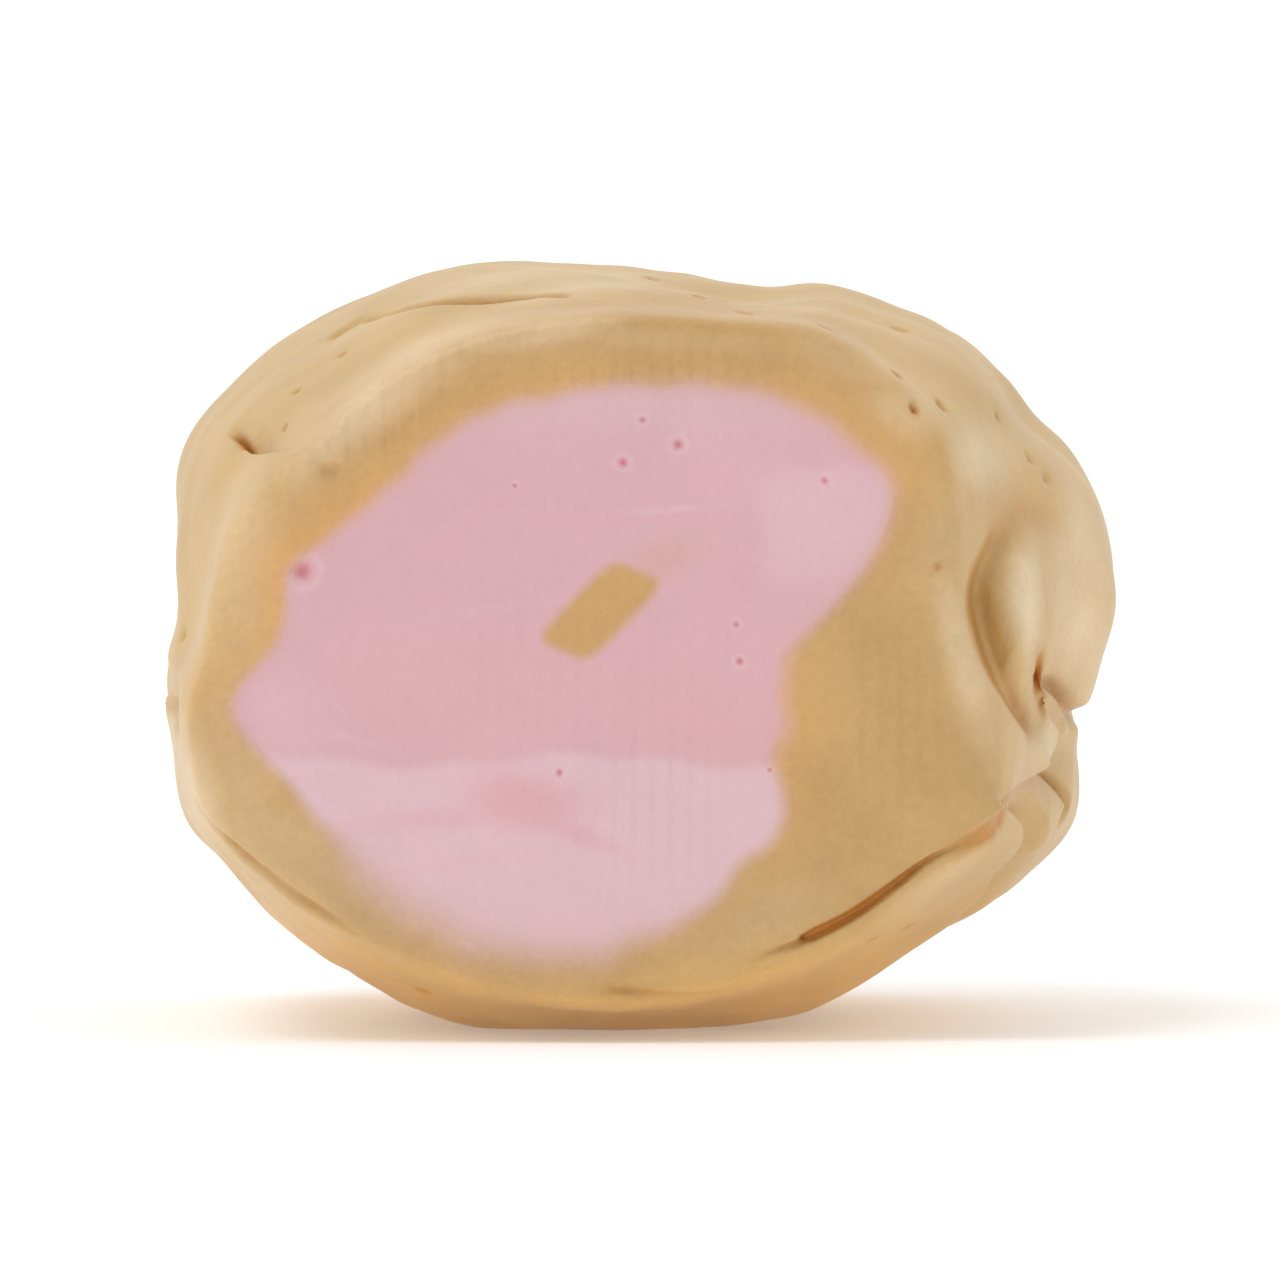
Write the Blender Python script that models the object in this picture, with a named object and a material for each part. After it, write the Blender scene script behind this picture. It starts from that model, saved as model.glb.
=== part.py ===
"""A cut piece of pulled taffy, resting on its side with one cut face to the front.

Three layers run through from the front cut to the back cut: a soft outer layer, the
filling that it is wrapped round, and a thin core in the middle of the filling.
All sizes are in millimetres. +X is to the right, +Z is up, and the front cut looks along -Y.
"""
import math

import bpy
import numpy as np

MM = 0.001

# Driving sizes
HALF_DEPTH = 11.0        # from the middle of the piece to the rim of each cut
FACE_DISH = 0.3          # how far a cut face lies behind its rim
RIM_ROUND = 0.8          # width of the rounded band on the inside of a rim
BACK_LIP = 0.2           # how far the rim of the back cut stands out
LAYER_GAP = 0.3          # clearance between one layer and the next
AXIS_X = -1.7            # the line along Y that every outline is measured round
AXIS_Z = 10.0

# Outlines: degrees from +X towards +Z, and the radius round the axis
BODY_OUTLINE = (
    (4, 13.93), (12, 13.8), (19.5, 13.3), (24, 12.8), (29.5, 12.65), (36, 12.35), (45.5, 11.38),
    (53, 10.72), (60, 9.75), (72, 9.17), (86, 9.03), (105, 9.4), (125, 9.85), (145, 10.4),
    (155, 10.74), (165, 10.38), (178, 9.95), (188, 10.4), (197, 10.5), (207, 10.8), (215, 10.48),
    (224, 10.42), (240, 10.35), (256, 10.5), (272, 10.42), (288, 10.65), (304, 11.45), (320, 12.23),
    (330, 13.07), (339, 13.6), (348, 13.1), (356, 13.45),
)
FRONT_RIM_OUTLINE = (
    (8, 9.85), (30, 10.65), (50, 10.05), (65, 9.15), (82, 8.45), (105, 8.05), (130, 8.15),
    (148, 8.35), (160, 8.65), (172, 8.85), (181, 9.2), (190, 9.85), (205, 10.05), (222, 9.35), (240, 8.9),
    (260, 8.8), (285, 9.0), (308, 9.8), (326, 10.75), (341, 11.6), (352, 10.6),
)
BACK_RIM_OUTLINE = (
    (5, 10.9), (28, 10.3), (52, 9.3), (78, 8.1), (104, 8.3), (132, 8.9), (158, 8.7),
    (184, 9.5), (210, 9.4), (236, 8.7), (262, 8.5), (286, 9.1), (312, 10.2), (338, 11.3),
)
FILLING_OUTLINE = (
    (0, 5.5), (12, 7.1), (26, 9.0), (38, 8.7), (50, 8.2), (65, 7.2), (85, 6.55), (105, 6.3),
    (135, 6.05), (150, 6.45), (163, 7.2), (178, 7.45), (190, 8.7), (205, 8.0), (225, 7.85),
    (250, 8.0), (275, 7.8), (298, 7.4), (321, 7.0), (331, 5.85), (350, 5.35),
)

# How far the rim of the front cut stands out, at angles in degrees
FRONT_LIP = (
    (10, 0.04), (40, 0.08), (75, 0.12), (105, 0.17), (140, 0.2), (158, 0.08), (172, 0.02),
    (195, 0.06), (218, 0.12), (240, 0.08), (270, 0.02), (305, 0.0), (335, 0.02),
)

# The core is a slanted bar with rounded corners
CORE_CENTRE = (-0.9, 10.95)
CORE_LONG = (0.94, 0.98)
CORE_SHORT = (-0.68, 0.3)
CORE_SQUARENESS = 5.0

# Folds of the outer layer, by points beside its surface: X, Y, Z and an amount from 0 to 1.
# A groove has a depth and half a width, and a ridge has a depth below zero.
EAR_RIDGE = (
    (10.3, -6.5, 12.9, 0), (10.05, -7.3, 12.1, 0.8), (9.9, -7.9, 11.1, 1), (9.85, -8.1, 10.2, 1),
    (9.95, -7.8, 9.4, 0.4),
)
EAR_GROOVE = (
    (10.05, -7.2, 8.05, 0.1), (9.75, -8.6, 8.45, 0.5), (9.4, -9.6, 9.05, 0.8), (9.12, -9.95, 9.7, 1),
    (8.92, -10.0, 10.4, 1), (8.88, -9.9, 11.2, 1), (9.02, -9.3, 12.0, 0.8), (9.4, -8.3, 12.7, 0.4),
    (10.0, -6.9, 13.1, 0),
)
EAR_TOP = ((9.3, -8.2, 13.0, 0), (9.8, -7.2, 13.35, 1), (10.4, -5.8, 13.1, 0.6), (10.7, -4.8, 12.6, 0))
KNOT_HOLE = ((10.25, -7.1, 9.7, 0.2), (10.3, -7.0, 9.3, 1), (10.3, -7.0, 8.95, 0.6))
KNOT_FOLD = ((10.25, -7.0, 8.7, 0.4), (10.25, -6.9, 8.4, 0.9), (10.4, -6.2, 8.1, 0.4))
WAIST = (
    (10.25, -7.0, 9.1, 0.4), (10.5, -6.2, 8.75, 1), (10.75, -5.0, 8.25, 1), (10.95, -3.6, 7.9, 0.9),
    (11.05, -1.0, 7.75, 0.8), (10.9, 3.5, 7.9, 0.4), (10.4, 6.0, 8.2, 0),
)
SLIT = (
    (4.0, -10.9, 2.47, 0.9), (4.25, -10.8, 2.6, 1), (5.4, -10.7, 3.25, 1), (6.4, -10.6, 3.95, 0.85),
    (7.3, -10.5, 4.6, 0.5), (8.0, -10.4, 5.0, 0.1),
)
POCKET = ((8.0, -10.6, 4.95, 0.3), (8.7, -10.4, 5.4, 1), (9.35, -10.0, 5.8, 0.7))
SIDE_FOLD = (
    (10.35, -6.2, 6.9, 0.3), (10.6, -5.2, 6.5, 0.8), (10.8, -4.3, 6.0, 1), (10.88, -3.9, 5.6, 1),
    (10.75, -4.3, 5.2, 0.3),
)
TOP_SEAM = (
    (-6.9, -4.0, 18.2, 0.3), (-5.7, -5.9, 18.35, 0.4), (-4.4, -7.0, 18.5, 0.6),
    (-3.2, -7.7, 18.65, 1), (-2.5, -8.3, 18.62, 0.8), (-1.5, -9.3, 18.55, 0),
)
DENT_HOLE = ((-10.4, -6.0, 15.45, 0.2), (-10.15, -6.7, 15.15, 1), (-9.9, -7.4, 14.85, 0.7))
LOW_RIM = ((-11.0, -10.4, 6.1, 0.3), (-9.9, -10.9, 5.15, 1), (-8.85, -11.0, 4.3, 1), (-6.6, -11.0, 2.75, 0))
LOW_CREASE = (
    (-11.4, -9.9, 5.85, 0.2), (-10.25, -10.6, 5.0, 1), (-9.1, -10.8, 4.05, 0.8), (-8.05, -10.8, 3.3, 1),
    (-6.9, -10.8, 2.5, 0),
)
BACK_GROOVE = (
    (-10.6, 4.0, 13.0, 0), (-10.4, 6.6, 11.6, 1), (-10.3, 8.2, 10.2, 1), (-10.8, 6.6, 8.6, 0.7),
    (-11.3, 4.2, 7.8, 0),
)
BACK_RIDGE = ((-10.9, 4.6, 12.0, 0), (-10.9, 5.6, 10.6, 1), (-11.1, 5.0, 9.2, 0.3))
GROOVES = (
    (EAR_RIDGE, -0.4, 0.85),
    (EAR_GROOVE, 0.3, 0.45),
    (EAR_TOP, 0.32, 0.55),
    (KNOT_HOLE, 0.5, 0.36),
    (KNOT_FOLD, 0.35, 0.36),
    (WAIST, 0.45, 0.5),
    (SLIT, 0.5, 0.28),
    (POCKET, 0.35, 0.36),
    (SIDE_FOLD, 0.3, 0.36),
    (TOP_SEAM, 0.3, 0.3),
    (DENT_HOLE, 0.3, 0.35),
    (LOW_RIM, -0.12, 0.4),
    (LOW_CREASE, 0.18, 0.35),
    (BACK_GROOVE, 0.7, 0.55),
    (BACK_RIDGE, -0.3, 0.7),
)

# A wrapped edge lies over what is on its right, which is lower by a drop that fades over a reach.
# Last is the width over which it falls away. Where wraps of one group meet, the deeper one counts.
EAR_WRAP = (
    (9.9, -7.6, 7.8, 0), (9.55, -8.9, 8.2, 0.5), (9.15, -9.9, 8.9, 0.85), (8.85, -10.25, 9.6, 1),
    (8.65, -10.3, 10.4, 1), (8.55, -10.2, 11.2, 1), (8.7, -9.6, 12.0, 0.8), (9.15, -8.5, 12.8, 0.45),
    (9.8, -7.0, 13.2, 0),
)
FRONT_WRAP = (
    (2.8, -10.9, 2.05, 0), (4.1, -10.9, 2.6, 0.1), (5.65, -10.7, 3.45, 0.15), (7.2, -10.7, 4.6, 0.15),
    (8.65, -10.8, 5.5, 0.3), (9.25, -10.4, 5.92, 0.7), (9.6, -9.9, 6.25, 1), (9.95, -8.1, 6.5, 1),
    (10.25, -6.4, 6.75, 1), (10.42, -5.2, 7.1, 0.8), (10.45, -5.0, 7.6, 0.4), (10.4, -5.8, 7.95, 0),
)
LIP_END = (
    (7.6, -3.9, 2.3, 0), (7.9, -4.7, 2.8, 0.6), (8.5, -6.1, 3.65, 0.9), (8.9, -7.2, 4.35, 1),
    (9.5, -7.3, 4.9, 1), (9.65, -7.9, 5.3, 1), (9.6, -8.9, 5.6, 0.8), (9.4, -10.0, 5.85, 0.5),
)
LEFT_DENT = (
    (-8.3, -11.0, 14.75, 0.15), (-9.2, -9.5, 14.85, 0.35), (-9.9, -7.6, 14.8, 1), (-10.2, -6.5, 15.0, 0.7),
    (-10.5, -5.3, 15.2, 0),
)
LEFT_FLAP = ((-11.3, -9.4, 8.0, 0), (-11.9, -7.0, 8.3, 0.8), (-12.0, -4.0, 8.5, 1), (-12.0, 0.0, 8.8, 0))
BACK_WRAP = (
    (8.9, 6.6, 4.4, 0), (8.0, 8.4, 3.6, 0.8), (6.0, 9.9, 2.7, 1), (3.4, 10.8, 1.9, 0.8), (0.4, 10.9, 1.3, 0),
)
BACK_SEAM = (
    (-3.4, 10.4, 17.8, 0), (-2.2, 10.2, 18.2, 0.8), (1.0, 8.6, 18.6, 1), (4.0, 6.6, 18.4, 0.7),
    (6.4, 3.0, 18.2, 0),
)
WRAPS = (
    ((EAR_WRAP, 0.9, 2.1, 0.3), (FRONT_WRAP, 0.5, 2.4, 0.28), (LIP_END, 0.45, 2.4, 0.28)),
    ((LEFT_DENT, 0.4, 1.1, 0.28),),
    ((LEFT_FLAP, 0.45, 1.4, 0.3),),
    ((BACK_WRAP, 0.55, 3.4, 0.28),),
    ((BACK_SEAM, 0.35, 2.2, 0.28),),
)
SWELL = 0.12             # height of the layer's slow unevenness
SWELL_START = 2.0        # how far from the filling it has its full height

# Spots pressed in: a point, a depth and a radius
SPOTS = (
    ((-8.0, -10.9, 14.62), 0.24, 0.35),
    ((4.5, 10.4, 16.2), 0.3, 0.6),
)

# How finely the shapes are divided
ANGLE_COUNT = 116
CORE_COUNT = 24
PATH_STEPS = (1, 1, 1, 3, 4, 5, 5, 3, 2, 2, 3, 3, 3, 2, 2, 1, 1)
BUSY_ANGLES = ((-22, 30, 1.5), (150, 30, 0.3))


def clear_scene():
    """Remove every object of the scene that the script starts in."""
    for item in list(bpy.data.objects):
        bpy.data.objects.remove(item, do_unlink=True)


def closed_curve(points):
    """Return the radius as a smooth function of the angle, through points given in degrees."""
    degrees, values = np.array(sorted(points)).T
    knots = np.radians(np.concatenate((degrees[-2:] - 360, degrees, degrees[:2] + 360)))
    heights = np.concatenate((values[-2:], values, values[:2]))
    slopes = np.gradient(heights, knots)

    def radius(angles):
        turned = (angles - knots[1]) % math.tau + knots[1]
        cell = np.clip(np.searchsorted(knots, turned, side="right") - 1, 0, len(knots) - 2)
        span = knots[cell + 1] - knots[cell]
        part = (turned - knots[cell]) / span
        start = (1 + 2 * part) * (1 - part) ** 2 * heights[cell]
        leave = part * (1 - part) ** 2 * span * slopes[cell]
        end = part ** 2 * (3 - 2 * part) * heights[cell + 1]
        arrive = part ** 2 * (part - 1) * span * slopes[cell + 1]
        return start + leave + end + arrive

    return radius


def spread_angles(count):
    """Angles once round the axis, closer together where the surface is busy."""
    fine = np.linspace(-math.pi, math.pi, 2881)
    density = np.ones_like(fine)
    for middle, spread, extra in BUSY_ANGLES:
        away = (np.degrees(fine) - middle + 180) % 360 - 180
        density += extra * np.exp(-(away / spread) ** 2)
    travelled = np.concatenate(([0.0], np.cumsum((density[1:] + density[:-1]) / 2)))
    return np.interp(np.arange(count) / count * travelled[-1], travelled, fine)


def outline(points, angles):
    """Points in X and Z along a closed outline."""
    radius = closed_curve(points)(angles)
    return np.stack((AXIS_X + radius * np.cos(angles), AXIS_Z + radius * np.sin(angles)), axis=1)


def widen(ring, distance):
    """Move a closed ring of X, Z points outwards by a distance."""
    along = np.roll(ring, -1, axis=0) - np.roll(ring, 1, axis=0)
    outward = np.stack((along[:, 1], -along[:, 0]), axis=1)
    return ring + outward * distance / np.linalg.norm(outward, axis=1, keepdims=True)


def core_outline(count):
    """Points in X and Z round the slanted bar."""
    turn = np.arange(count) / count * math.tau
    power = 2 / CORE_SQUARENESS
    reach = np.sign(np.cos(turn)) * np.abs(np.cos(turn)) ** power
    rise = np.sign(np.sin(turn)) * np.abs(np.sin(turn)) ** power
    return np.array(CORE_CENTRE) + reach[:, None] * np.array(CORE_LONG) + rise[:, None] * np.array(CORE_SHORT)


def at_depth(ring, depth):
    """Turn X, Z points into X, Y, Z points at a depth."""
    return np.stack((ring[:, 0], np.zeros(len(ring)) + depth, ring[:, 1]), axis=1)


def half_path(hole, rim, body, lip, front):
    """Rows of control points from the hole in the layer over the rim to the belly."""
    side = -1.0 if front else 1.0
    face = HALF_DEPTH - FACE_DISH
    outward = rim - np.array((AXIS_X, AXIS_Z))
    outward = outward / np.linalg.norm(outward, axis=1, keepdims=True)
    overhang = np.linalg.norm(body - rim, axis=1, keepdims=True)
    bevel = 0.3 * np.minimum(overhang, 1.2)
    inward = np.minimum(RIM_ROUND, 0.45 * np.linalg.norm(rim - hole, axis=1, keepdims=True))
    rows = (
        (hole, face),
        ((hole + rim) / 2, face),
        (rim - outward * inward, face + lip * 0.3),
        (rim - outward * inward * 0.1, face + lip * 1.8),
        (rim + outward * bevel, HALF_DEPTH - 0.8),
        (rim + (body - rim) * 0.5, HALF_DEPTH * 0.66),
        (rim + (body - rim) * 0.92, HALF_DEPTH * 0.36),
        (body, HALF_DEPTH * 0.1),
    )
    return [at_depth(ring, side * depth) for ring, depth in rows]


def run_along(controls, steps):
    """Run a smooth curve along the rows of control points, held at its first and last row."""
    rows = np.concatenate((controls[:1], controls[:1], controls, controls[-1:], controls[-1:]))
    stations = []
    for span, count in enumerate(steps):
        part = np.linspace(0.0, 1.0, count, endpoint=False)[:, None, None]
        weights = (
            (1 - part) ** 3,
            3 * part ** 3 - 6 * part ** 2 + 4,
            1 + 3 * part + 3 * part ** 2 - 3 * part ** 3,
            part ** 3,
        )
        stations.append(sum(weight * rows[span + place] for place, weight in enumerate(weights)) / 6)
    stations.append(controls[-1:])
    return np.concatenate(stations)


def base_surface(angles, steps):
    """The outer layer without its folds: rows from the front hole to the back hole."""
    hole = widen(outline(FILLING_OUTLINE, angles), LAYER_GAP)
    body = outline(BODY_OUTLINE, angles)
    lip = closed_curve(FRONT_LIP)(angles)
    front = half_path(hole, outline(FRONT_RIM_OUTLINE, angles), body, lip, True)
    back = half_path(hole, outline(BACK_RIM_OUTLINE, angles), body, BACK_LIP, False)
    return run_along(np.array(front + back[::-1]), steps)


def normals_of(grid):
    """Unit normals of the base surface, pointing out of the layer."""
    across = np.roll(grid, -1, axis=1) - np.roll(grid, 1, axis=1)
    onward = np.gradient(grid, axis=0)
    normals = np.cross(onward, across)
    return normals / np.linalg.norm(normals, axis=2, keepdims=True)


def lay_on(surface, points):
    """Move points to the nearest points of a finely divided surface."""
    return np.array([surface[np.argmin(((surface - point) ** 2).sum(axis=1))] for point in points])


def smooth_line(surface, points, count=8):
    """Run a smooth line over a surface, with a number of steps from each point to the next."""
    points = np.array(points, dtype=float)
    points[:, :3] = lay_on(surface, points[:, :3])
    ends = np.concatenate((2 * points[:1] - points[1:2], points, 2 * points[-1:] - points[-2:-1]))
    line = []
    for before, start, stop, after in zip(ends, ends[1:], ends[2:], ends[3:]):
        for part in np.arange(count) / count:
            line.append(0.5 * (
                2 * start + (stop - before) * part
                + (2 * before - 5 * start + 4 * stop - after) * part ** 2
                + (3 * start - before - 3 * stop + after) * part ** 3
            ))
    line = np.array(line + [points[-1]])
    return line[:, :3], np.clip(line[:, 3], 0.0, 1.0)


def beside_line(points, normals, line, amounts):
    """For every point: its distance to a line, the line's amount there, and its side.

    The side is a distance, above zero on the right of the line.
    """
    nearest = np.full(len(points), np.inf)
    amount = np.zeros(len(points))
    side = np.zeros(len(points))
    for start, stop, first, last in zip(line, line[1:], amounts, amounts[1:]):
        leg = stop - start
        length = np.linalg.norm(leg)
        part = np.clip((points - start) @ leg / length ** 2, 0.0, 1.0)
        offset = points - start - part[:, None] * leg
        distance = np.linalg.norm(offset, axis=1)
        right = np.cross(leg / length, normals)
        nearer = distance < nearest
        nearest[nearer] = distance[nearer]
        amount[nearer] = (first + part * (last - first))[nearer]
        side[nearer] = (offset * right).sum(axis=1)[nearer]
    return nearest, amount, side


def away_from_filling(grid):
    """Rise from 0 at the first and last row to 1 further along the surface."""
    lengths = np.linalg.norm(np.diff(grid, axis=0), axis=2)
    travelled = np.concatenate((np.zeros((1, grid.shape[1])), np.cumsum(lengths, axis=0)))
    nearest = np.minimum(travelled, travelled[-1] - travelled)
    part = np.clip(nearest / SWELL_START, 0.0, 1.0)
    return part * part * (3 - 2 * part)


def fold(grid, finely):
    """Move the points of the base surface in and out along its normals to form the folds."""
    normals = normals_of(grid).reshape(-1, 3)
    points = grid.reshape(-1, 3)
    x, y, z = points.T
    broad = np.sin(0.55 * x + 0.3 * y + 0.8) * np.sin(0.5 * z - 0.35 * y)
    height = SWELL * (broad + 0.5 * np.sin(0.9 * y + 0.4 * z)) * away_from_filling(grid).ravel()
    for line_points, depth, width in GROOVES:
        distance, amount, _ = beside_line(points, normals, *smooth_line(finely, line_points))
        height -= depth * amount * np.exp(-(distance / width) ** 2)
    for group in WRAPS:
        lowered = np.zeros(len(points))
        for line_points, drop, reach, edge in group:
            distance, amount, side = beside_line(points, normals, *smooth_line(finely, line_points))
            fall = 0.5 + 0.5 * np.tanh(side / edge)
            fade = np.clip(1 - (distance / reach) ** 2, 0.0, 1.0) ** 2
            lowered = np.maximum(lowered, drop * amount * fall * fade)
        height -= lowered
    for point, depth, radius in SPOTS:
        distance = np.linalg.norm(points - lay_on(finely, [point])[0], axis=1)
        height -= depth * np.exp(-(distance / radius) ** 2)
    folded = (points + normals * height[:, None]).reshape(grid.shape)
    folded[0] = grid[0]
    folded[-1] = grid[-1]
    folded[..., 2] = np.maximum(folded[..., 2], 0.0)
    return folded


def make_material(name, colour, roughness):
    """A soft sweet with no metal in it."""
    material = bpy.data.materials.new(name)
    material.use_nodes = True
    surface = material.node_tree.nodes["Principled BSDF"]
    surface.inputs["Base Color"].default_value = (*colour, 1.0)
    surface.inputs["Roughness"].default_value = roughness
    surface.inputs["Metallic"].default_value = 0.0
    return material


def place(name, data, material, home, holder):
    """Put a layer in the taffy's collection, held by its empty."""
    layer = bpy.data.objects.new(name, data)
    layer.data.materials.append(material)
    layer.parent = holder
    home.objects.link(layer)
    return layer


def build_outer_layer(home, holder):
    """The wrapped layer: a loft from the hole's front edge over both rims to its back edge."""
    finely = base_surface(spread_angles(720), [6 * steps for steps in PATH_STEPS]).reshape(-1, 3)
    grid = fold(base_surface(spread_angles(ANGLE_COUNT), PATH_STEPS), finely)
    rows, columns = grid.shape[:2]
    faces = []
    for row in range(rows):
        onward = (row + 1) % rows
        for column in range(columns):
            beside = (column + 1) % columns
            faces.append((
                row * columns + column, onward * columns + column,
                onward * columns + beside, row * columns + beside,
            ))
    mesh = bpy.data.meshes.new("outer_layer")
    mesh.from_pydata((grid.reshape(-1, 3) * MM).tolist(), [], faces)
    mesh.shade_smooth()
    mesh.set_sharp_from_angle(angle=math.radians(50))
    place("outer_layer", mesh, make_material("caramel_taffy", (0.66, 0.45, 0.23), 0.5), home, holder)


def bar(name, rings, material, home, holder):
    """A straight bar along Y, from closed rings of X, Z points: its outline, then any hole in it."""
    curve = bpy.data.curves.new(name, "CURVE")
    curve.dimensions = "2D"
    curve.fill_mode = "BOTH"
    curve.extrude = (HALF_DEPTH - FACE_DISH) * MM
    for ring in rings:
        spline = curve.splines.new("POLY")
        spline.points.add(len(ring) - 1)
        for point, (x, z) in zip(spline.points, ring * MM):
            point.co = (x, z, 0.0, 1.0)
        spline.use_cyclic_u = True
    layer = place(name, curve, material, home, holder)
    layer.rotation_euler = (math.pi / 2, 0.0, 0.0)


def build_taffy():
    """Build the three layers in a collection of their own."""
    home = bpy.data.collections.new("taffy")
    bpy.context.scene.collection.children.link(home)
    holder = bpy.data.objects.new("taffy_piece", None)
    home.objects.link(holder)
    build_outer_layer(home, holder)
    filling = outline(FILLING_OUTLINE, spread_angles(ANGLE_COUNT))
    hole = widen(core_outline(CORE_COUNT), LAYER_GAP)
    pink = make_material("pink_taffy", (0.70, 0.42, 0.45), 0.45)
    bar("filling", [filling, hole], pink, home, holder)
    caramel = make_material("core_taffy", (0.58, 0.34, 0.135), 0.5)
    bar("core", [core_outline(CORE_COUNT)], caramel, home, holder)


clear_scene()
build_taffy()
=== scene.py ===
"""Looks of a cut piece of pulled taffy: a folded caramel layer, a pink filling and a core.

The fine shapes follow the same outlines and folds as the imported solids. All sizes are in
millimetres, +X is to the right, +Z is up, and the front cut looks along -Y.
"""
import math

import bpy
import numpy as np
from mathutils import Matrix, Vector


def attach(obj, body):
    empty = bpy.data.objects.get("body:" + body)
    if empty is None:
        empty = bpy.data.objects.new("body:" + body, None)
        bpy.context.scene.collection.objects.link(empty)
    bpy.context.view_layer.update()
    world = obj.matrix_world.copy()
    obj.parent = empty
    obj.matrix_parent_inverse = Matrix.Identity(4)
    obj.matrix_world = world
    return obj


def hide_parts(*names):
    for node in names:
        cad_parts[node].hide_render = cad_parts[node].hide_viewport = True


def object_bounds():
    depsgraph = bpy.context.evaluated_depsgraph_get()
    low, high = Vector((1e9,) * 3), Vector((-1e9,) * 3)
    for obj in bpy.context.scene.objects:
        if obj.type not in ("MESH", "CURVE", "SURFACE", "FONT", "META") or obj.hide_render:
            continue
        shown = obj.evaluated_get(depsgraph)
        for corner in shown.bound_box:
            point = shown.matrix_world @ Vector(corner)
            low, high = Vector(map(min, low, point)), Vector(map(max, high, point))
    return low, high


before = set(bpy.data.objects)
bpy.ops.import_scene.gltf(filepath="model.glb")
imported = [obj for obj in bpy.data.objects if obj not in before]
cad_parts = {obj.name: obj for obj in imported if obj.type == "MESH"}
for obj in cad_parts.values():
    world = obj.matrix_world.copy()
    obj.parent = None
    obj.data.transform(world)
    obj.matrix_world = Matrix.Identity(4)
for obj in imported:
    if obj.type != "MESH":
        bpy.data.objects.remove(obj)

MM = 0.001
SOLID_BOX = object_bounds()

# Driving sizes of the piece
HALF_DEPTH = 11.0        # from the middle of the piece to the rim of each cut
FACE_DISH = 0.3          # how far a cut face lies behind its rim
FACE_DEPTH = HALF_DEPTH - FACE_DISH
RIM_ROUND = 1.1          # width of the rounded band on the inside of a rim
BACK_LIP = 0.2           # how far the rim of the back cut stands out
AXIS_X = -1.7            # the line along Y that every outline is measured round
AXIS_Z = 10.0

# Outlines: degrees from +X towards +Z, and the radius round the axis
BODY_OUTLINE = (
    (4, 13.93), (12, 13.8), (19.5, 13.3), (24, 12.8), (29.5, 12.65), (36, 12.35), (45.5, 11.38),
    (53, 10.72), (60, 9.75), (72, 9.17), (86, 9.03), (105, 9.4), (125, 9.85), (145, 10.4),
    (155, 10.74), (165, 10.38), (178, 9.95), (188, 10.4), (197, 10.5), (207, 10.8), (215, 10.48),
    (224, 10.42), (240, 10.35), (256, 10.5), (272, 10.42), (288, 10.65), (304, 11.45), (320, 12.23),
    (330, 13.07), (339, 13.6), (348, 13.1), (356, 13.45),
)
FRONT_RIM_OUTLINE = (
    (8, 9.85), (30, 10.65), (50, 10.05), (65, 9.15), (82, 8.45), (105, 8.05), (130, 8.15),
    (148, 8.35), (160, 8.65), (172, 8.85), (181, 9.2), (190, 9.85), (205, 10.05), (222, 9.35),
    (240, 8.9), (260, 8.8), (285, 9.0), (308, 9.8), (326, 10.75), (341, 11.6), (352, 10.6),
)
BACK_RIM_OUTLINE = (
    (5, 10.9), (28, 10.3), (52, 9.3), (78, 8.1), (104, 8.3), (132, 8.9), (158, 8.7),
    (184, 9.5), (210, 9.4), (236, 8.7), (262, 8.5), (286, 9.1), (312, 10.2), (338, 11.3),
)
FRONT_LIP = (
    (10, 0.04), (40, 0.08), (75, 0.12), (105, 0.17), (140, 0.2), (158, 0.08), (172, 0.02),
    (195, 0.06), (218, 0.12), (240, 0.08), (270, 0.02), (305, 0.0), (335, 0.02),
)
FILLING_OUTLINE = (
    (0, 5.5), (12, 7.2), (26, 9.0), (38, 8.57), (50, 8.2), (65, 7.2), (85, 6.55), (103, 6.2),
    (115, 6.28), (126, 6.08), (135, 6.0), (150, 6.4), (163, 7.16), (178, 7.37), (190, 8.57),
    (205, 7.87), (225, 7.7), (250, 7.85), (265, 7.72), (277, 7.7), (298, 7.27), (309, 6.98),
    (321, 6.87), (331, 5.78), (343, 5.65), (350, 5.42),
)
# The filling's edge is a little ragged: how many waves round it, their shift and their height
RAGGED_EDGE = ((11, 1.0, 0.05), (17, 2.0, 0.04), (29, 0.0, 0.03))

# The core is a slanted bar with rounded corners: its middle, and half its long and short way
CORE_CENTRE = (-0.95, 10.9)
CORE_LONG = (0.98, 1.02)
CORE_SHORT = (-0.68, 0.3)
CORE_SQUARENESS = 5.0

# Folds of the caramel layer, by points beside its surface: X, Y, Z and an amount from 0 to 1.
# A groove has a depth, half a width, a steepness (1 for a soft hollow, 3 for a cut with walls)
# and a painted shade: at 1 its inside is painted with brown shade, at 2 or more with deep orange
# shade. A ridge has a depth below zero. Last is how far it is pressed in straight from the front
# (1), and not square to the surface (0).
EAR_RIDGE = (
    (10.2, -6.8, 12.9, 0), (9.9, -7.8, 12.2, 0.8), (9.75, -8.3, 11.1, 1), (9.72, -8.4, 10.2, 1),
    (9.85, -8.1, 9.3, 0.6), (10.1, -7.4, 8.6, 0.2),
)
EAR_GROOVE = (
    (10.05, -7.3, 7.8, 0.5), (9.7, -8.5, 8.1, 1), (9.27, -9.6, 8.8, 1), (8.95, -10.0, 9.55, 1),
    (8.7, -10.1, 10.3, 1), (8.62, -10.05, 11.2, 1), (8.78, -9.5, 12.0, 0.8),
    (9.25, -8.4, 12.7, 0.5), (9.9, -7.1, 13.1, 0.1),
)
EAR_LINE = (
    (9.75, -8.3, 7.85, 0.6), (9.45, -9.1, 8.2, 0.9), (9.03, -10.05, 8.9, 1),
    (8.72, -10.35, 9.6, 1), (8.53, -10.45, 10.4, 1), (8.45, -10.35, 11.2, 0.9),
    (8.62, -9.8, 12.0, 0.7), (9.05, -8.8, 12.7, 0.5), (9.5, -7.9, 13.1, 0),
)
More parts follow.
